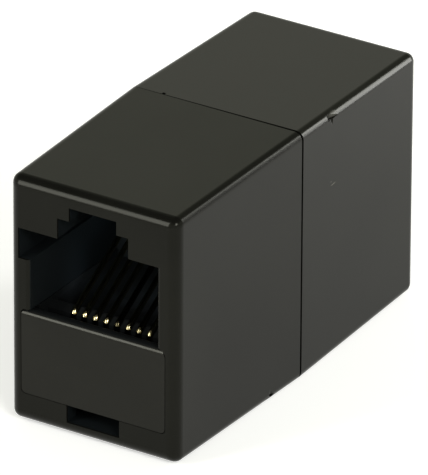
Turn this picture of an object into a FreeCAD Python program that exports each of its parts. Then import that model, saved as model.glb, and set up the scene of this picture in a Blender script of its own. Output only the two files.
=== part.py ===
"""Inline coupler for 8-way modular plugs, in millimetres.

X is the width, Y runs from the front jack (-Y) to the rear jack (+Y), Z is up.
The origin is the centre of the body, in the plane of the seam.
The coupler is two identical shells, two identical contact carriers and eight wires.
Every rear piece is the front one turned half a turn about X, so the rear jack is inverted.
"""
import FreeCAD
import Part
import math
import os

# Body
BODY_LENGTH = 36.5
SEAM_WIDTH = 16.2
SEAM_HEIGHT = 22.1
DRAFT_DEG = 0.9
WALL = 1.05
FACE_WALL = 1.4
EDGE_R = 0.7
FACE_EDGE_R = 0.95
SEAM_GAP_LEFT = 0.05
SEAM_GAP_RIGHT = 0.24

# Jack opening, heights from the centre line of the body
PLUG_WIDTH = 11.85
LIP_Z = -0.80
CAVITY_TOP = 6.38
CAVITY_DEPTH = 13.0
SHOULDER_WIDTH = 6.6
SHOULDER_TOP = 8.15
TAB_WIDTH = 4.4
TAB_TOP = 9.33
KEY_DEPTH = 1.03
KEY_BOTTOM = 3.70
GUIDE_WALL = 1.0
LEAD_IN_R = 0.35

# Carrier's front panel, its window in the face, and the slot for the catch below it
SIDE_PLAY = 0.085
PANEL_BOTTOM = -8.14
PANEL_THICK = 1.2
PANEL_CORNER_R = 0.4
LIP_END_R = 0.75
LIP_R = 0.5
FIT = 0.05
STRIP_GAP = 0.1
SLOT_WIDTH = 4.93
SLOT_HEIGHT = 1.52

# Contact wires
CONTACTS = 8
PITCH = 1.016
WIRE_D = 0.46
WIRE_SIDES = 6
BEND_R = 0.7
CROSS_BEND_R = 1.0
SLOPE_DEG = 30.0
SETBACK = 2.53
NOSE_BELOW_LIP = 1.04
WIRE_END_GAP = 0.25

# Contact carrier
GROOVE_PLAY = 0.06
GROOVE_DEPTH = 0.27
WIRE_FIT = 0.02
NOSE_RIB_LENGTH = 1.6
COMB_WALL = 1.3
COMB_DEPTH = 0.9
FLOOR_TAIL = 1.0
PEG_D = 1.1
PEG_HEIGHT = 1.2
PEG_Y = 2.0
BOSS_WALL = 0.5
BOSS_HEIGHT = 4.0
RIB_THICK = 0.9
RIB_BELOW_WIRES = 1.4
TONGUE_WIDTH = 4.4
TONGUE_THICK = 0.8
TONGUE_ROOT_Y = -8.6
BARB_FROM_PANEL = 0.95
BARB_LENGTH = 1.45
BARB_LIFT = 0.15
CATCH_LENGTH = 1.25
CATCH_RAMP = 1.1
CATCH_PLAY = 0.1

# Mouth of the shell
SPIGOT_REACH = 1.8
SPIGOT_ROOT = 1.2
SPIGOT_THICK = 0.5
SNAP_R = 0.3
SNAP_PROUD = 0.15
SNAP_Y = 1.0
SNAP_LENGTH = 5.0

# Marks of moulding on the long edge and at the mouth
GATE_FROM_SEAM = 4.0
GATE_LENGTH = 1.7
GATE_DEPTH = 0.3
GATE_HEIGHT = 0.6
SCAR_R = 0.3
SCAR_HEIGHT = 1.05
NICK_X = -5.0
NICK_SIZE = 0.3

TAPER = math.tan(math.radians(DRAFT_DEG))


def half_width(y):
    """Half the body's width at y."""
    return SEAM_WIDTH / 2 - abs(y) * TAPER


def half_height(y):
    """Half the body's height at y."""
    return SEAM_HEIGHT / 2 - abs(y) * TAPER


# Places worked out from the sizes above
FACE_Y = -BODY_LENGTH / 2
SEAM_Y = -SEAM_GAP_LEFT / 2
FACE_BACK_Y = FACE_Y + FACE_WALL
CAVITY_END_Y = FACE_Y + CAVITY_DEPTH
PLUG_HALF = PLUG_WIDTH / 2
STRIP_Z = LIP_Z + STRIP_GAP
WIRE_R = WIRE_D / 2
NOSE_Y = FACE_Y + SETBACK + BEND_R + WIRE_R
NOSE_Z = LIP_Z - NOSE_BELOW_LIP
NOSE_R = BEND_R - WIRE_R - WIRE_FIT
FLOOR_Z = NOSE_Z + NOSE_R
RUN_Z = NOSE_Z - BEND_R
TAIL_Y = CAVITY_END_Y + COMB_WALL + FLOOR_TAIL
GROOVE_HALF = WIRE_R + GROOVE_PLAY
CARRIER_HALF = half_width(FACE_BACK_Y) - WALL - SIDE_PLAY
CARRIER_BOTTOM = FIT - (half_height(FACE_BACK_Y) - WALL)
TONGUE_TOP = PANEL_BOTTOM + FIT
TONGUE_BOTTOM = TONGUE_TOP - TONGUE_THICK
BARB_TIP_Y = FACE_Y + PANEL_THICK + BARB_FROM_PANEL
BARB_BACK_Y = BARB_TIP_Y + BARB_LENGTH


def box(x0, x1, y0, y1, z0, z1):
    """A box between two corners."""
    return Part.makeBox(x1 - x0, y1 - y0, z1 - z0, FreeCAD.Vector(x0, y0, z0))


def prism_along_y(points, y0, y1):
    """The closed outline of (x, z) points, extruded from y0 to y1."""
    ring = [FreeCAD.Vector(x, y0, z) for x, z in points]
    outline = Part.makePolygon(ring + ring[:1])
    return Part.Face(outline).extrude(FreeCAD.Vector(0, y1 - y0, 0))


def prism_along_x(points, x0, x1):
    """The closed outline of (y, z) points, extruded from x0 to x1."""
    ring = [FreeCAD.Vector(x0, y, z) for y, z in points]
    outline = Part.makePolygon(ring + ring[:1])
    return Part.Face(outline).extrude(FreeCAD.Vector(x1 - x0, 0, 0))


def prism_along_z(points, z0, z1):
    """The closed outline of (x, y) points, extruded from z0 to z1."""
    ring = [FreeCAD.Vector(x, y, z0) for x, y in points]
    outline = Part.makePolygon(ring + ring[:1])
    return Part.Face(outline).extrude(FreeCAD.Vector(0, 0, z1 - z0))


def drafted_block(inset, y0, y1):
    """The body's tapered block between two planes, drawn in all round by inset."""
    w0, h0 = half_width(y0) - inset, half_height(y0) - inset
    w1, h1 = half_width(y1) - inset, half_height(y1) - inset
    return Part.makeWedge(-w0, y0, -h0, -h1, -w1, w0, y1, h0, h1, w1)


def rounded_block(inset, y0, y1):
    """A straight block with the seam's outline, drawn in by inset, its long edges rounded."""
    w, h = SEAM_WIDTH / 2 - inset, SEAM_HEIGHT / 2 - inset
    block = box(-w, w, y0, y1, -h, h)
    radius = EDGE_R - inset
    return block.makeFillet(radius, edges_along_y(block)) if radius > FIT else block


def edges_along_y(shape):
    """The edges that run from front to back."""
    return [e for e in shape.Edges if e.BoundBox.YLength > e.BoundBox.XLength + e.BoundBox.ZLength]


def edges_at_y(shape, y):
    """The edges that lie in the plane at y."""
    return [e for e in shape.Edges if abs(e.BoundBox.YMin - y) < 1e-6 and e.BoundBox.YLength < 1e-6]


def contact_xs():
    """The places of the contacts across the width, from left to right."""
    first = -(CONTACTS - 1) / 2 * PITCH
    return [first + i * PITCH for i in range(CONTACTS)]


def turned(shape):
    """The rear piece: the front one turned half a turn about X."""
    copy = shape.copy()
    copy.rotate(FreeCAD.Vector(0, 0, 0), FreeCAD.Vector(1, 0, 0), 180)
    return copy


def outer_block():
    """One half of the body, solid, with its long edges and its face edges rounded."""
    block = drafted_block(0, FACE_Y, SEAM_Y)
    block = block.makeFillet(EDGE_R, edges_along_y(block))
    return block.makeFillet(FACE_EDGE_R, edges_at_y(block, FACE_Y))


def seam_wedge():
    """What is pared off the mouth, so that the seam opens from left to right."""
    side = SEAM_WIDTH / 2
    outline = [(-side, SEAM_Y), (side, -SEAM_GAP_RIGHT / 2), (side, SEAM_GAP_RIGHT), (-side, SEAM_GAP_RIGHT)]
    return prism_along_z(outline, -SEAM_HEIGHT / 2, SEAM_HEIGHT / 2)


def jack_opening(y0, y1):
    """The stepped opening for a plug with its latch uppermost."""
    shoulder, tab = SHOULDER_WIDTH / 2, TAB_WIDTH / 2
    right = [(PLUG_HALF, LIP_Z), (PLUG_HALF, CAVITY_TOP), (shoulder, CAVITY_TOP)]
    right += [(shoulder, SHOULDER_TOP), (tab, SHOULDER_TOP), (tab, TAB_TOP)]
    left = [(-x, z) for x, z in reversed(right)]
    return prism_along_y(right + left, y0, y1)


def rounded_corners(plate):
    """The panel's plate with its corners rounded, most of all the upper right one."""
    upper_right = max(edges_along_y(plate), key=lambda e: e.BoundBox.XMin + e.BoundBox.ZMin)
    plate = plate.makeFillet(LIP_END_R, [upper_right])
    others = [e for e in edges_along_y(plate) if e.BoundBox.XMin < 0 or e.BoundBox.ZMin < PANEL_BOTTOM / 2]
    return plate.makeFillet(PANEL_CORNER_R, others)


def panel_window(y0, y1):
    """The window for the carrier's panel and, below it, the slot over the catch."""
    half = CARRIER_HALF + FIT
    bottom = PANEL_BOTTOM - FIT
    window = rounded_corners(box(-half, half, y0, y1, bottom, STRIP_Z))
    slot = box(-SLOT_WIDTH / 2, SLOT_WIDTH / 2, y0, y1, bottom - SLOT_HEIGHT, bottom + FIT)
    return window.fuse(slot)


def lead_in():
    """The room in front of the jack's two side edges, which are rounded to lead the plug in."""
    half = PLUG_HALF + LEAD_IN_R
    room = box(-half, half, FACE_Y - 1, FACE_Y + LEAD_IN_R, LIP_Z, CAVITY_TOP)
    sides = [Part.makeCylinder(LEAD_IN_R, CAVITY_TOP - LIP_Z, FreeCAD.Vector(x, FACE_Y + LEAD_IN_R, LIP_Z))
             for x in (-half, half)]
    return room.cut(sides)


def key_groove():
    """The groove in the left guide for the key of a keyed plug."""
    return box(-PLUG_HALF - KEY_DEPTH, -PLUG_HALF + FIT, FACE_Y, CAVITY_END_Y, KEY_BOTTOM, CAVITY_TOP)


def plug_guides():
    """The walls inside the shell that guide the plug and its latch."""
    y0, y1 = FACE_BACK_Y - FIT, CAVITY_END_Y - 3 * FIT
    side = half_width(y0) - WALL / 2
    top = half_height(y0) - WALL / 2
    channel = SHOULDER_WIDTH / 2 + FIT
    right = [(side, STRIP_Z), (side, CAVITY_TOP + GUIDE_WALL)]
    right += [(channel + GUIDE_WALL, CAVITY_TOP + GUIDE_WALL), (channel + GUIDE_WALL, top)]
    right += [(channel, top), (channel, CAVITY_TOP), (PLUG_HALF, CAVITY_TOP), (PLUG_HALF, STRIP_Z)]
    guide = prism_along_y(right, y0, y1)
    return guide.fuse(guide.mirror(FreeCAD.Vector(0, 0, 0), FreeCAD.Vector(1, 0, 0)))


def catch():
    """The ramped catch on the shell's floor that the carrier's barb drops in front of."""
    front = BARB_BACK_Y + CATCH_PLAY
    root = -half_height(front) + WALL / 2
    top = TONGUE_BOTTOM - CATCH_PLAY
    outline = [(front, root), (front, top), (front + CATCH_LENGTH, top)]
    outline += [(front + CATCH_LENGTH + CATCH_RAMP, root)]
    return prism_along_x(outline, -TONGUE_WIDTH / 2, TONGUE_WIDTH / 2)


def snap_ridges(play):
    """Three round ridges on the spigot, along its top and its sides, made larger all round by play."""
    sink = spigot_inset() + SNAP_R - SNAP_PROUD
    top, side = SEAM_HEIGHT / 2 - sink, SEAM_WIDTH / 2 - sink
    radius, length = SNAP_R + play, SNAP_LENGTH + 2 * play
    start = FreeCAD.Vector(-length / 2, SNAP_Y, top)
    ridges = [Part.makeCylinder(radius, length, start, FreeCAD.Vector(1, 0, 0))]
    for x in (-side, side):
        start = FreeCAD.Vector(x, SNAP_Y, SEAM_HEIGHT / 4 - length / 2)
        ridges.append(Part.makeCylinder(radius, length, start))
    return ridges


def spigot_inset():
    """How far the spigot's outside lies inside the body's outside."""
    return WALL - SPIGOT_THICK


def spigot():
    """The thin wall that reaches from the upper half of this mouth into the other shell."""
    wall = rounded_block(spigot_inset(), -SPIGOT_ROOT, SPIGOT_REACH)
    wall = wall.cut(box(-SEAM_WIDTH, SEAM_WIDTH, -SPIGOT_ROOT, SPIGOT_REACH, -SEAM_HEIGHT, FIT))
    wall = wall.fuse(snap_ridges(0))
    inner_x, inner_z = SEAM_WIDTH / 2 - WALL, SEAM_HEIGHT / 2 - WALL
    return wall.cut(box(-inner_x, inner_x, -SPIGOT_ROOT, SPIGOT_REACH, -inner_z, inner_z))


def rebate():
    """The room in the lower half of this mouth for the other shell's spigot."""
    room = rounded_block(spigot_inset() - FIT, -SPIGOT_REACH - 3 * FIT, FIT)
    room = room.fuse([turned(ridge) for ridge in snap_ridges(FIT)])
    return room.common(box(-SEAM_WIDTH, SEAM_WIDTH, -SEAM_HEIGHT, FIT, -SEAM_HEIGHT, 0))


def moulding_marks():
    """The ramp and the scar where the gate was cut off, and the nick at the mouth."""
    y1 = -GATE_FROM_SEAM
    y0 = y1 - GATE_LENGTH
    side, foot = half_width(y1), -half_height(y1)
    ramp = prism_along_z([(side - GATE_DEPTH, y1), (side + 1, y1), (side + 1, y0), (side, y0)],
                         foot - 1, foot + GATE_HEIGHT)
    scar_foot = FreeCAD.Vector(side, y1 - SCAR_R, foot)
    run_out = FreeCAD.Vector(SCAR_R, -SCAR_R, SCAR_HEIGHT)
    scar = Part.makeCylinder(SCAR_R, 2 * run_out.Length, scar_foot - run_out, run_out)
    nick_x0, nick_z = NICK_X - NICK_SIZE / 2, -half_height(0)
    nick = box(nick_x0, nick_x0 + NICK_SIZE, -NICK_SIZE, 0, nick_z, nick_z + NICK_SIZE / 2)
    return [ramp, scar, nick]


def front_shell():
    """One moulded shell: body, jack opening, plug guides, catch and half-and-half mouth."""
    shell = outer_block().cut(drafted_block(WALL, FACE_BACK_Y, SEAM_Y + FIT))
    shell = shell.fuse([plug_guides(), catch()])
    openings = [jack_opening(FACE_Y - 1, FACE_BACK_Y + FIT), panel_window(FACE_Y - 1, FACE_BACK_Y + FIT)]
    shell = shell.cut(openings + [lead_in(), key_groove(), seam_wedge()])
    shell = shell.cut(rebate()).fuse(spigot())
    return shell.cut(moulding_marks()).removeSplitter()


def panel():
    """The carrier's front panel, whose rounded upper edge is the lip of the jack."""
    plate = box(-CARRIER_HALF, CARRIER_HALF, FACE_Y, FACE_Y + PANEL_THICK, PANEL_BOTTOM, LIP_Z)
    lip = [e for e in plate.Edges if e.BoundBox.XLength > 1 and e.BoundBox.ZMin > LIP_Z - FIT]
    return plate.makeFillet(LIP_R, lip).common(rounded_corners(plate))


def floor_plate():
    """The plate under the contacts, its nose rounded for the wires to wrap round."""
    half = PLUG_HALF + FIT
    plate = box(-half, half, NOSE_Y, TAIL_Y, NOSE_Z - NOSE_R, FLOOR_Z)
    nose_end = FreeCAD.Vector(-half, NOSE_Y, NOSE_Z)
    return plate.fuse(Part.makeCylinder(NOSE_R, 2 * half, nose_end, FreeCAD.Vector(1, 0, 0)))


def contact_floor():
    """The floor plate, with ribs under it and over its nose that keep the wires apart."""
    reach = NOSE_R + GROOVE_DEPTH
    corner = reach * math.tan(math.radians(22.5))
    top, low = NOSE_Z + reach, NOSE_Z - reach
    outline = [(TAIL_Y, NOSE_Z), (TAIL_Y, low), (NOSE_Y - corner, low), (NOSE_Y - reach, NOSE_Z - corner)]
    outline += [(NOSE_Y - reach, NOSE_Z + corner), (NOSE_Y, top), (NOSE_Y + NOSE_RIB_LENGTH, NOSE_Z)]
    xs = contact_xs()
    lefts = [-PLUG_HALF - FIT] + [x + GROOVE_HALF for x in xs]
    rights = [x - GROOVE_HALF for x in xs] + [PLUG_HALF + FIT]
    ribs = [prism_along_x(outline, left, right) for left, right in zip(lefts, rights)]
    return floor_plate().fuse(ribs)


def comb():
    """The wall behind the other jack, slotted for the free ends of that jack's contacts."""
    y1 = -CAVITY_END_Y
    y0 = y1 - COMB_WALL
    low = box(-PLUG_HALF - FIT, PLUG_HALF + FIT, y0, y1, CARRIER_BOTTOM, -FIT / 2)
    narrow = PLUG_HALF - FIT
    high = box(-narrow, narrow, y0, y1, -FIT, -FLOOR_Z - FIT)
    slot_low = -wire_end()[1] - 2 * WIRE_D
    slots = [box(x - GROOVE_HALF, x + GROOVE_HALF, y1 - COMB_DEPTH, y1 + FIT, slot_low, -FLOOR_Z)
             for x in contact_xs()]
    return low.fuse(high).cut(slots)


def side_walls():
    """The carrier's two side walls: low beside the jack, up to the centre line in the middle."""
    y0, y1 = FACE_BACK_Y + FIT, -CAVITY_END_Y
    shoulder = STRIP_Z - 2 * FIT
    outline = [(y0, CARRIER_BOTTOM), (y1, CARRIER_BOTTOM), (y1, -FIT / 2)]
    outline += [(CAVITY_END_Y, -FIT / 2), (CAVITY_END_Y, shoulder), (y0, shoulder)]
    walls = []
    for side in (-1, 1):
        xs = sorted((side * PLUG_HALF, side * CARRIER_HALF))
        walls.append(prism_along_x(outline, *xs))
        top, bottom = LIP_Z - LIP_END_R, PANEL_BOTTOM + PANEL_CORNER_R
        walls.append(box(*xs, FACE_Y + PANEL_THICK - FIT, y0 + FIT, bottom, top))
    return walls


def pegs_and_bosses():
    """Bosses on the side walls, each with a peg, and holes for the other carrier's pegs."""
    bosses, pegs, holes = [], [], []
    half = PEG_D / 2 + BOSS_WALL
    for side in (-1, 1):
        x = side * (CARRIER_HALF - half)
        for y in (-PEG_Y, PEG_Y):
            bosses.append(box(x - half, x + half, y - half, y + half, -BOSS_HEIGHT, -FIT / 2))
        peg_foot = FreeCAD.Vector(x, PEG_Y, -PEG_HEIGHT)
        pegs.append(Part.makeCylinder(PEG_D / 2, 2 * PEG_HEIGHT, peg_foot))
        hole_foot = FreeCAD.Vector(x, -PEG_Y, -PEG_HEIGHT - 2 * FIT)
        holes.append(Part.makeCylinder(PEG_D / 2 + FIT, 2 * PEG_HEIGHT, hole_foot))
    return bosses, pegs, holes


def snap_tongue():
    """A springy tongue under the carrier whose barb locks in front of the shell's catch."""
    half = TONGUE_WIDTH / 2 - CATCH_PLAY
    arm = box(-half, half, BARB_TIP_Y, TONGUE_ROOT_Y + RIB_THICK, TONGUE_BOTTOM, TONGUE_TOP)
    low, high = CARRIER_BOTTOM + BARB_LIFT, TONGUE_TOP - FIT
    barb = [(BARB_TIP_Y, TONGUE_BOTTOM), (BARB_TIP_Y + BARB_LENGTH / 2, low)]
    barb += [(BARB_BACK_Y, low), (BARB_BACK_Y, high), (BARB_TIP_Y, high)]
    return arm.fuse(prism_along_x(barb, -half, half))


def cross_ribs():
    """Ribs that tie the carrier's side walls together below the wires."""
    half, top = PLUG_HALF + FIT, RUN_Z - WIRE_R - RIB_BELOW_WIRES
    fronts = (TONGUE_ROOT_Y, -RIB_THICK / 2)
    return [box(-half, half, y, y + RIB_THICK, CARRIER_BOTTOM, top) for y in fronts]


def front_carrier():
    """One contact carrier: panel, floor with nose, comb, side walls, ribs, pegs and tongue."""
    bosses, pegs, holes = pegs_and_bosses()
    pieces = [contact_floor(), comb(), snap_tongue()] + side_walls() + cross_ribs() + bosses
    carrier = panel().fuse(pieces).cut(holes).fuse(pegs)
    return carrier.removeSplitter()


def wire_end():
    """Where the free end of a front contact lies, as (y, z)."""
    slope = math.radians(SLOPE_DEG)
    y = CAVITY_END_Y + COMB_DEPTH - WIRE_END_GAP
    start_y, start_z = nose_exit()
    return y, start_z + (y - start_y) * math.tan(slope)


def nose_exit():
    """Where a contact leaves the nose and starts up its slope, as (y, z)."""
    slope = math.radians(SLOPE_DEG)
    return NOSE_Y - BEND_R * math.sin(slope), NOSE_Z + BEND_R * math.cos(slope)


def half_route(x, side):
    """The edges of one half of a wire, from the middle to its free end."""
    def at(y, z):
        return FreeCAD.Vector(x, side * y, side * z)

    centre_y, centre_z = TAIL_Y, RUN_Z + CROSS_BEND_R
    away = math.hypot(centre_y, centre_z)
    angle = math.atan2(-centre_z, -centre_y) + math.asin(CROSS_BEND_R / away)

    def on_bend(turn):
        return at(centre_y + CROSS_BEND_R * math.sin(turn), centre_z - CROSS_BEND_R * math.cos(turn))

    bend_start, bend_mid, bend_end = on_bend(angle), on_bend(angle / 2), on_bend(0)
    under_nose = at(NOSE_Y, RUN_Z)
    halfway = math.radians((180 - SLOPE_DEG) / 2)
    nose_mid = at(NOSE_Y - BEND_R * math.sin(halfway), NOSE_Z - BEND_R * math.cos(halfway))
    leave = at(*nose_exit())
    return [Part.Arc(bend_start, bend_mid, bend_end).toShape(), Part.makeLine(bend_end, under_nose),
            Part.Arc(under_nose, nose_mid, leave).toShape(), Part.makeLine(leave, at(*wire_end()))]


def wire_section(end, along):
    """The wire's section: a hexagon of the round wire's area, flat above and below, square to its end."""
    across = FreeCAD.Vector(1, 0, 0)
    up = across.cross(along)
    step = 2 * math.pi / WIRE_SIDES
    corner_r = WIRE_R * math.sqrt(step / math.sin(step))
    corners = []
    for i in range(WIRE_SIDES):
        angle = i * step
        corners.append(end + across * (corner_r * math.cos(angle)) + up * (corner_r * math.sin(angle)))
    return Part.Face(Part.makePolygon(corners + corners[:1]))


def contact_wire(x):
    """One wire from the free end in the front jack to the free end in the rear one."""
    front = half_route(x, 1)
    rear = half_route(x, -1)
    starts = [half[0].valueAt(half[0].FirstParameter) for half in (front, rear)]
    route = Part.Wire(Part.sortEdges(front + [Part.makeLine(*starts)] + rear)[0])
    slope = math.radians(SLOPE_DEG)
    along = FreeCAD.Vector(0, math.cos(slope), math.sin(slope))
    return route.makePipe(wire_section(FreeCAD.Vector(x, *wire_end()), along))


def export(name, shape):
    """Write one piece and say its size."""
    solids = shape.Solids
    assert len(solids) == 1 and solids[0].isValid(), name
    solids[0].exportStep(f"parts/{name}.step")
    size = solids[0].BoundBox
    print(f"{name}: {size.XLength:.2f} x {size.YLength:.2f} x {size.ZLength:.2f} mm")


os.makedirs("parts", exist_ok=True)
shell = front_shell()
export("front_shell", shell)
export("rear_shell", turned(shell))
carrier = front_carrier()
export("front_carrier", carrier)
export("rear_carrier", turned(carrier))
for number, contact_x in enumerate(contact_xs(), start=1):
    export(f"contact_wire_{number}", contact_wire(contact_x))
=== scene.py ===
"""Looks of an inline coupler for 8-way modular plugs, in metres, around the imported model.

X is the width, Y runs from the front jack (-Y) to the rear jack (+Y), Z is up.
"""
import bpy
import math
from mathutils import Matrix, Vector


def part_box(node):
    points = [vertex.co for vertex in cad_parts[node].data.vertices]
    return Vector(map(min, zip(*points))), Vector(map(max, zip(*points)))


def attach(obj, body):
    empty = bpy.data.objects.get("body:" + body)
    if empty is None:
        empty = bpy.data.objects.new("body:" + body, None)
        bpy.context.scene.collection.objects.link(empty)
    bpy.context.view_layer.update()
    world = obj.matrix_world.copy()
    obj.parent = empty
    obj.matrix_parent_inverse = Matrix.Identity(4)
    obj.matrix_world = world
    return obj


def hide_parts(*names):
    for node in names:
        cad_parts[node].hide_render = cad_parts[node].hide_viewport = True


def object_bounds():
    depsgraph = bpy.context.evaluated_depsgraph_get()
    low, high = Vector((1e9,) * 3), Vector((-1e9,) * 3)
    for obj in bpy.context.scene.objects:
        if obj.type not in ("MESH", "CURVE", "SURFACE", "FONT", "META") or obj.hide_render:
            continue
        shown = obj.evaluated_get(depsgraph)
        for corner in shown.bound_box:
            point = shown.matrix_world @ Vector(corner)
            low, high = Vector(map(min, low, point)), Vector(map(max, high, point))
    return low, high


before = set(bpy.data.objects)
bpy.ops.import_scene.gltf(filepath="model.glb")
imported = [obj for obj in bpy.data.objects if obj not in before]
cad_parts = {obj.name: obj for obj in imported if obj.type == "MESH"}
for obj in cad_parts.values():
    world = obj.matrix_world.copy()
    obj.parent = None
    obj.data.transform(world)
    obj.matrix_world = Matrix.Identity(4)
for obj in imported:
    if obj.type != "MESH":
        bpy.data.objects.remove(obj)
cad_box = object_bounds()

MM = 0.001

# Camera: angles in degrees, azimuth 0 looks along +Y
CAMERA_AZIMUTH = 31.81
CAMERA_ELEVATION = 26.79
CAMERA_ROLL = 0.30
CAMERA_DISTANCE = 755.4 * MM
CAMERA_REACH = (0.01, 10.0)
SENSOR_WIDTH = 36.0
LENS = 793.7
SHIFT_X = -0.0034
SHIFT_Y = -0.0106

# Floor
FLOOR_SIZE = 3.0
FLOOR_COLOUR = (0.83, 0.83, 0.81, 1.0)
FLOOR_GLOW = 0.45

# Brightness of the surroundings by the height of a direction, the sine of its elevation
WORLD_STEPS = [(0.0, (0.78, 0.785, 0.74)), (0.12, (0.88, 0.88, 0.81)), (0.41, (1.0, 1.0, 0.86)),
               (0.49, (0.64, 0.67, 0.52)), (0.66, (0.26, 0.27, 0.22)), (0.88, (0.12, 0.12, 0.11))]

# Lamps: name, azimuth and elevation in degrees, distance, width and height in metres, brightness.
# The key lights the front's top edge and the lip, the rim the front half's long edge on the right,
# the card the rear half's, and the last one the corner between them.
LAMPS = [("key", -148, 27, 0.6, 0.15, 0.34, 9.8),
         ("rim", 35, 17, 0.5, 0.09, 0.30, 4.4),
         ("card", 33, 14, 0.12, 0.022, 0.066, 13.5),
         ("corner", 127, 32, 0.6, 0.17, 0.17, 17.0)]

# Plastics: colour outside, painted light inside near the mouths, painted light deep inside (lighter
# and bluer, to lift the shade there), roughness, specular level
SHELL_LOOK = ((0.0050, 0.0050, 0.0041), (0.0072, 0.0090, 0.0100), (0.034, 0.046, 0.058), 0.20, 0.12)
CARRIER_LOOK = ((0.0050, 0.0048, 0.0042), (0.0054, 0.0061, 0.0065), (0.056, 0.068, 0.081), 0.22, 0.20)
PLASTIC_IOR = 1.5
PLASTIC_TINT = (1.0, 1.0, 0.86, 1.0)

# Depth inside the body's outside at which a surface counts as inside, per axis, and how far the
# change takes
INSIDE = (7.3 * MM, 18.02 * MM, 10.2 * MM)
INSIDE_EDGE = 0.1 * MM
INSIDE_ROUGHER = 0.15
# Distance from the middle, along Y, between which the inside's painted light turns from its deep to its
# near tone
INSIDE_PAINTED_LIGHT_TURN = (7.5 * MM, 14.5 * MM)

# Unevenness of the plastic: noise scales per metre, the part of the noise's range over which tone
# and roughness change, their spread, and the depth of the relief
CLOUD_SCALE = 140.0
CLOUD_DETAIL = 3.0
TONE_RANGE = (0.3, 0.7)
TONE_SPREAD = 0.15
ROUGHNESS_RANGE = (0.25, 0.75)
ROUGHNESS_SPREAD = 0.07
GRAIN_SCALE = 7000.0
GRAIN_DEPTH = 0.0004 * MM
WAVE_SCALE = 220.0
WAVE_DETAIL = 1.0
WAVE_DEPTH = 0.0012 * MM

# Wear of the plastic: hairline scratches and dust, each with its size and its strength
HAIRLINE_TURN = (0.5, 0.3, 0.9)
HAIRLINE_SCALE = (260.0, 5200.0, 5200.0)
HAIRLINE_WIDTH = (0.05, 0.11)
HAIRLINE_STRENGTH = 0.02
DUST_SCALE = 620.0
DUST_SIZE = (0.012, 0.022)
DUST_STRENGTH = 0.16

# Pale marks on the rear half's right side: middle in millimetres, angle in degrees from +Y upwards,
# half length and half width in millimetres, strength. Two scuffs, then the cut face at the gate,
# painted paler as painted light that lifts the shade on its ledge.
MARKS = [((8.0, 4.87, 4.50), 2.0, 0.38, 0.028, 1.0), ((8.0, 4.51, 4.82), 2.0, 0.08, 0.028, 1.0),
         ((8.0, 4.95, 10.65), 0.0, 0.62, 0.22, 0.2)]
MARK_EDGE = (0.6, 1.3)
MARK_COLOUR = (0.17, 0.167, 0.14, 1.0)
MARK_ROUGHER = 0.3

# Gold plating: painted glint, how bright each contact wire's colour is, from -X to +X, to make
# its highlight brighter or dimmer; the two tones it varies between, its roughness, and its drawing lines
WIRE_PAINTED_GLINT = (1.0, 1.0, 0.8, 0.8, 0.12, 0.7, 0.4, 0.9)
GOLD_DARK = (0.50, 0.42, 0.22)
GOLD_LIGHT = (0.62, 0.55, 0.33)
GOLD_CLOUD_SCALE = 900.0
GOLD_ROUGHNESS = (0.045, 0.08)
DRAWN_SCALE = (9000.0, 500.0, 500.0)
DRAWN_RANGE = (0.3, 0.7)
DRAWN_DEPTH = 0.0002 * MM

# Contact wires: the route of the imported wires, with y and z of the front half
PITCH = 1.016 * MM
WIRE_D = 0.46 * MM
BEND_R = 0.7 * MM
CROSS_BEND_R = 1.0 * MM
NOSE = (-14.79 * MM, -1.84 * MM)
FREE_END = (-4.6 * MM, 4.854 * MM)
TAIL_Y = -2.95 * MM
SLOPE_DEG = 30.0
STEPS_ROUND = 5
STEPS_ALONG = 10


def direction(azimuth, elevation):
    """The unit vector towards a place: azimuth from +Y towards +X, elevation up, in degrees."""
    a, e = math.radians(azimuth), math.radians(elevation)
    return Vector((math.sin(a) * math.cos(e), math.cos(a) * math.cos(e), math.sin(e)))


def opaque(colour, brightness=1.0):
    """The colour at the given brightness, with an alpha of 1."""
    return (*(part * brightness for part in colour), 1.0)


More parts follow.
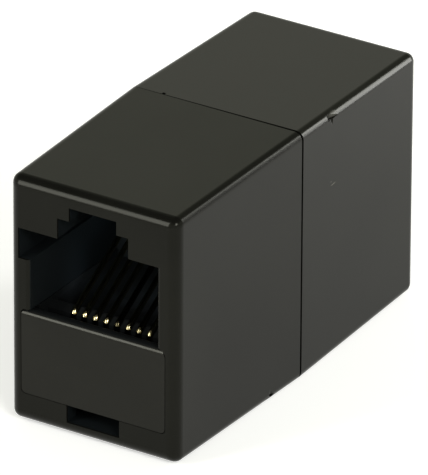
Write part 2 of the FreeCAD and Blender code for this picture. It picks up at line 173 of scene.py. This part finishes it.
class Shading:
    """A new material, and short ways to add nodes to it."""

    def __init__(self, name):
        self.material = bpy.data.materials.new(name)
        self.material.use_nodes = True
        self.tree = self.material.node_tree
        self.tree.nodes.clear()
        self.out = self.tree.nodes.new("ShaderNodeOutputMaterial")

    def fill(self, socket, value):
        """Link a socket to the input, or set the input to a plain value."""
        if isinstance(value, bpy.types.NodeSocket):
            self.tree.links.new(value, socket)
        else:
            socket.default_value = value

    def node(self, kind, **inputs):
        """A node with its inputs set to values or linked to sockets; _ in a name stands for a space."""
        node = self.tree.nodes.new("ShaderNode" + kind)
        for name, value in inputs.items():
            self.fill(node.inputs[name.replace("_", " ")], value)
        return node

    def math(self, operation, *values):
        """The result of a sum or another operation on numbers."""
        node = self.tree.nodes.new("ShaderNodeMath")
        node.operation = operation
        for socket, value in zip(node.inputs, values):
            self.fill(socket, value)
        return node.outputs[0]

    def steps(self, value, low, high, at_low=0.0, at_high=1.0):
        """A smooth change from at_low to at_high as the value goes from low to high."""
        node = self.tree.nodes.new("ShaderNodeMapRange")
        node.interpolation_type = "SMOOTHSTEP"
        for name, item in (("Value", value), ("From Min", low), ("From Max", high),
                           ("To Min", at_low), ("To Max", at_high)):
            self.fill(node.inputs[name], item)
        return node.outputs["Result"]

    def mix(self, factor, first, second):
        """The first colour where the factor is 0, the second where it is 1."""
        node = self.tree.nodes.new("ShaderNodeMix")
        node.data_type = "RGBA"
        for name, item in (("Factor", factor), ("A", first), ("B", second)):
            socket = [s for s in node.inputs if s.name == name and s.enabled][0]
            self.fill(socket, item)
        return [s for s in node.outputs if s.enabled][0]

    def noise(self, place, scale, detail=2.0, roughness=0.5):
        """Soft noise between 0 and 1."""
        node = self.node("TexNoise", Vector=place, Scale=scale, Detail=detail, Roughness=roughness)
        return node.outputs["Fac"]

    def cells(self, place, scale=1.0):
        """Distance to the nearest of scattered points."""
        return self.node("TexVoronoi", Vector=place, Scale=scale, Randomness=1.0).outputs["Distance"]

    def bump(self, height, depth, below=None):
        """A bump of the given depth in metres, on top of another bump's normal."""
        node = self.node("Bump", Height=height, Distance=depth, Strength=1.0)
        if below is not None:
            self.fill(node.inputs["Normal"], below)
        return node.outputs["Normal"]

    def place(self):
        """The place on the piece, in metres."""
        return self.node("TexCoord").outputs["Object"]

    def finish(self, shader):
        self.tree.links.new(shader.outputs[0], self.out.inputs["Surface"])
        return self.material


def make_camera():
    a, e, r = (math.radians(v) for v in (CAMERA_AZIMUTH, CAMERA_ELEVATION, CAMERA_ROLL))
    back = Vector((math.sin(a) * math.cos(e), -math.cos(a) * math.cos(e), math.sin(e)))
    right = Vector((math.cos(a), math.sin(a), 0))
    up = back.cross(right)
    rolled_right = right * math.cos(r) + up * math.sin(r)
    rolled_up = up * math.cos(r) - right * math.sin(r)
    data = bpy.data.cameras.new("camera")
    data.sensor_fit = "HORIZONTAL"
    data.sensor_width = SENSOR_WIDTH
    data.lens = LENS
    data.shift_x, data.shift_y = SHIFT_X, SHIFT_Y
    data.clip_start, data.clip_end = CAMERA_REACH
    camera = bpy.data.objects.new("camera", data)
    turn = Matrix((rolled_right, rolled_up, back)).transposed().to_4x4()
    camera.matrix_world = Matrix.Translation(back * CAMERA_DISTANCE) @ turn
    bpy.context.scene.collection.objects.link(camera)
    bpy.context.scene.camera = camera


def floor_material():
    """Pale floor that shows white to the camera and in reflections, and still takes shadows."""
    look = Shading("floor")
    path = look.node("LightPath").outputs
    seen = look.math("MAXIMUM", path["Is Camera Ray"], path["Is Glossy Ray"])
    seen = look.math("MAXIMUM", seen, path["Is Transmission Ray"])
    glow = look.node("Emission", Strength=look.math("MULTIPLY", seen, FLOOR_GLOW))
    diffuse = look.node("BsdfDiffuse", Color=FLOOR_COLOUR)
    both = look.tree.nodes.new("ShaderNodeAddShader")
    look.tree.links.new(diffuse.outputs[0], both.inputs[0])
    look.tree.links.new(glow.outputs[0], both.inputs[1])
    return look.finish(both)


def make_floor():
    height = cad_box[0].z
    half = FLOOR_SIZE / 2
    corners = [(-half, -half, height), (half, -half, height), (half, half, height), (-half, half, height)]
    mesh = bpy.data.meshes.new("floor")
    mesh.from_pydata(corners, [], [(0, 1, 2, 3)])
    mesh.materials.append(floor_material())
    floor = bpy.data.objects.new("floor", mesh)
    bpy.context.scene.collection.objects.link(floor)


def make_world():
    world = bpy.data.worlds.new("studio")
    world.use_nodes = True
    tree = world.node_tree
    tree.nodes.clear()
    out = tree.nodes.new("ShaderNodeOutputWorld")
    background = tree.nodes.new("ShaderNodeBackground")
    place = tree.nodes.new("ShaderNodeTexCoord")
    split = tree.nodes.new("ShaderNodeSeparateXYZ")
    ramp = tree.nodes.new("ShaderNodeValToRGB")
    ramp.color_ramp.interpolation = "EASE"
    steps = ramp.color_ramp.elements
    while len(steps) < len(WORLD_STEPS):
        steps.new(0.5)
    for step, (height, colour) in zip(steps, WORLD_STEPS):
        step.position = height
        step.color = opaque(colour)
    tree.links.new(place.outputs["Generated"], split.inputs[0])
    tree.links.new(split.outputs["Z"], ramp.inputs["Fac"])
    tree.links.new(ramp.outputs["Color"], background.inputs["Color"])
    tree.links.new(background.outputs[0], out.inputs["Surface"])
    bpy.context.scene.world = world


def softbox(name, azimuth, elevation, distance, width, height, level):
    """An area lamp that faces the object: level is its brightness against a white surface."""
    data = bpy.data.lights.new(name, "AREA")
    data.shape = "RECTANGLE"
    data.size, data.size_y = width, height
    data.energy = level * math.pi * width * height
    lamp = bpy.data.objects.new(name, data)
    towards = direction(azimuth, elevation)
    lamp.location = towards * distance
    lamp.rotation_euler = towards.to_track_quat("Z", "Y").to_euler()
    lamp.visible_camera = False
    bpy.context.scene.collection.objects.link(lamp)


def inside_mask(look, place):
    """1 on surfaces well inside the body's outside, such as the jack's walls, and 0 outside."""
    mask = 1.0
    for axis, limit in zip(look.node("SeparateXYZ", Vector=place).outputs, INSIDE):
        within = look.steps(look.math("ABSOLUTE", axis), limit, limit + INSIDE_EDGE, 1.0, 0.0)
        mask = look.math("MULTIPLY", mask, within)
    return mask


def scuffs_and_painted_light_mask(look, place):
    """How much of the pale mark colour shows on the right side: two scuffs, and painted light on the
    gate's cut face.
    """
    mask = 0.0
    for centre, angle, length, width, strength in MARKS:
        spot = look.node("Mapping", Vector=place)
        spot.vector_type = "TEXTURE"
        spot.inputs["Location"].default_value = Vector(centre) * MM
        spot.inputs["Rotation"].default_value = (math.radians(angle), 0.0, 0.0)
        spot.inputs["Scale"].default_value = (MM, length * MM, width * MM)
        away = look.tree.nodes.new("ShaderNodeVectorMath")
        away.operation = "LENGTH"
        look.tree.links.new(spot.outputs[0], away.inputs[0])
        shown = look.steps(away.outputs["Value"], *MARK_EDGE, strength, 0.0)
        mask = look.math("MAXIMUM", mask, shown)
    return mask


def wear_and_painted_light_mask(look, place):
    """How much of the pale mark colour shows: hairline scratches, dust, the scuffs, and painted light on
    the gate's cut face.
    """
    stretched = look.node("Mapping", Vector=place)
    stretched.inputs["Rotation"].default_value = HAIRLINE_TURN
    stretched.inputs["Scale"].default_value = HAIRLINE_SCALE
    hairline = look.steps(look.cells(stretched.outputs[0]), *HAIRLINE_WIDTH, HAIRLINE_STRENGTH, 0.0)
    dust = look.steps(look.cells(place, DUST_SCALE), *DUST_SIZE, DUST_STRENGTH, 0.0)
    pale_marks = look.math("MAXIMUM", hairline, dust)
    return look.math("MAXIMUM", pale_marks, scuffs_and_painted_light_mask(look, place))


def inside_painted_light(look, place, near_painted_light, deep_painted_light):
    """Painted light on the surfaces inside: lighter deep in the middle of the body, where shade falls,
    and darker towards its mouths.
    """
    along = look.node("SeparateXYZ", Vector=place).outputs["Y"]
    near = look.steps(look.math("ABSOLUTE", along), *INSIDE_PAINTED_LIGHT_TURN)
    return look.mix(near, opaque(deep_painted_light), opaque(near_painted_light))


def plastic_relief(look, place):
    """Faint waves of the moulding, with a fine spark-eroded grain on top."""
    waves = look.bump(look.noise(place, WAVE_SCALE, WAVE_DETAIL), WAVE_DEPTH)
    return look.bump(look.noise(place, GRAIN_SCALE), GRAIN_DEPTH, waves)


def plastic(name, colour, near_painted_light, deep_painted_light, roughness, specular):
    """Black moulded plastic, a little uneven, with its grain, scratches, dust and scuffs, and painted
    light inside the body and on the gate's cut face.
    """
    look = Shading(name)
    place = look.place()
    inside = inside_mask(look, place)
    cloud = look.noise(place, CLOUD_SCALE, CLOUD_DETAIL)
    pale_marks = wear_and_painted_light_mask(look, place)

    darker, lighter = opaque(colour, 1 - TONE_SPREAD), opaque(colour, 1 + TONE_SPREAD)
    tone = look.mix(look.steps(cloud, *TONE_RANGE), darker, lighter)
    # Painted light inside: surfaces deep in the body lighter against their shade, those near the mouths
    # darker
    tone = look.mix(inside, tone, inside_painted_light(look, place, near_painted_light, deep_painted_light))
    # Pale marks: scratches, dust and scuffs, with painted light on the gate's cut face
    tone = look.mix(pale_marks, tone, MARK_COLOUR)

    smoothest, roughest = roughness * (1 - ROUGHNESS_SPREAD), roughness * (1 + ROUGHNESS_SPREAD)
    rough = look.steps(cloud, *ROUGHNESS_RANGE, smoothest, roughest)
    rough = look.math("ADD", rough, look.math("MULTIPLY", inside, INSIDE_ROUGHER))
    rough = look.math("ADD", rough, look.math("MULTIPLY", pale_marks, MARK_ROUGHER))

    normal = plastic_relief(look, place)
    shader = look.node("BsdfPrincipled", Base_Color=tone, Roughness=rough, Normal=normal, IOR=PLASTIC_IOR)
    shader.inputs["Specular IOR Level"].default_value = specular
    shader.inputs["Specular Tint"].default_value = PLASTIC_TINT
    return look.finish(shader)


def shell_plastic():
    return plastic("shell_plastic", *SHELL_LOOK)


def carrier_plastic():
    return plastic("carrier_plastic", *CARRIER_LOOK)


def contact_gold(name, painted_glint):
    """Gold-plated wire: bright, with drawing lines along it and a slight change of colour, its colour
    scaled by a painted glint that makes its highlight brighter or dimmer.
    """
    look = Shading(name)
    place = look.place()
    cloud = look.noise(place, GOLD_CLOUD_SCALE)
    stretched = look.node("Mapping", Vector=place)
    stretched.inputs["Scale"].default_value = DRAWN_SCALE
    drawn = look.noise(stretched.outputs[0], 1.0)
    tone = look.mix(cloud, opaque(GOLD_DARK, painted_glint), opaque(GOLD_LIGHT, painted_glint))
    rough = look.steps(drawn, *DRAWN_RANGE, *GOLD_ROUGHNESS)
    normal = look.bump(drawn, DRAWN_DEPTH)
    shader = look.node("BsdfPrincipled", Base_Color=tone, Roughness=rough, Normal=normal, Metallic=1.0)
    return look.finish(shader)


def arc_handle(angle, radius):
    """Length of the handles that make a curve follow an arc of the given angle and radius."""
    return 4 / 3 * math.tan(angle / 4) * radius


def wire_route():
    """Half of a wire from its free end to the middle: points with their two handles, as (y, z)."""
    slope = math.radians(SLOPE_DEG)
    up_slope = Vector((math.cos(slope), math.sin(slope)))
    level = Vector((1, 0))
    free_end = Vector(FREE_END)

    # Bend at the nose, in two halves
    nose = Vector(NOSE)
    half_turn = math.radians((180 - SLOPE_DEG) / 2)
    leave = nose + BEND_R * Vector((-math.sin(slope), math.cos(slope)))
    nose_mid = nose - BEND_R * Vector((math.sin(half_turn), math.cos(half_turn)))
    along_mid = Vector((-math.cos(half_turn), math.sin(half_turn)))
    under = nose - Vector((0, BEND_R))

    # Bend from the floor into the straight that crosses the middle of the body
    tail = Vector((TAIL_Y, under.y))
    centre = tail + Vector((0, CROSS_BEND_R))
    turn = math.atan2(-centre.y, -centre.x) + math.asin(CROSS_BEND_R / centre.length)
    cross = centre + CROSS_BEND_R * Vector((math.sin(turn), -math.cos(turn)))
    along_cross = Vector((math.cos(turn), math.sin(turn)))

    nose_handle = arc_handle(half_turn, BEND_R)
    cross_handle = arc_handle(turn, CROSS_BEND_R)
    run = (free_end - leave).length / 3
    flat = (tail - under).length / 3
    middle = cross.length * 2 / 3
    return [
        (free_end, up_slope, run, run),
        (leave, up_slope, run, nose_handle),
        (nose_mid, along_mid, nose_handle, nose_handle),
        (under, -level, nose_handle, flat),
        (tail, -level, flat, cross_handle),
        (cross, -along_cross, cross_handle, middle),
    ]


def make_wire(name, x, material):
    """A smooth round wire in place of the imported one: the rear half is the front one turned about X."""
    front = [(co, co + back * along, co - ahead * along) for co, along, back, ahead in wire_route()]
    rear = [(-co, -ahead, -back) for co, back, ahead in reversed(front)]
    curve = bpy.data.curves.new(name, "CURVE")
    curve.dimensions = "3D"
    curve.bevel_depth = WIRE_D / 2
    curve.bevel_resolution = STEPS_ROUND
    curve.resolution_u = STEPS_ALONG
    curve.use_fill_caps = True
    spline = curve.splines.new("BEZIER")
    spline.bezier_points.add(len(front) + len(rear) - 1)
    for point, (co, left, right) in zip(spline.bezier_points, front + rear):
        point.co = (x, *co)
        point.handle_left_type = point.handle_right_type = "FREE"
        point.handle_left = (x, *left)
        point.handle_right = (x, *right)
    curve.materials.append(material)
    piece = bpy.data.objects.new(name, curve)
    bpy.context.scene.collection.objects.link(piece)
    return piece


def dress_wire(name, node):
    """Gold for a packed contact wire, and a smooth round wire in its place."""
    low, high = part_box(name)
    x = (low.x + high.x) / 2
    number = round(x / PITCH + (len(WIRE_PAINTED_GLINT) + 1) / 2)
    # Each wire's colour is scaled by its painted glint, to make its highlight brighter or dimmer
    gold = contact_gold("contact_gold_" + str(number), WIRE_PAINTED_GLINT[number - 1])
    piece = make_wire(name.replace("contact", "round"), x, gold)
    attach(piece, "root")
    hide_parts(name)
    node.material_slots[0].material = gold


def dress(nodes):
    """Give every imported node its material."""
    shell = shell_plastic()
    carrier = carrier_plastic()
    for name, node in nodes.items():
        if "wire" in name:
            dress_wire(name, node)
        else:
            node.material_slots[0].material = carrier if "carrier" in name else shell


make_camera()
make_floor()
make_world()
for lamp in LAMPS:
    softbox(*lamp)
dress(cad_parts)
bpy.context.scene.view_settings.view_transform = "Standard"
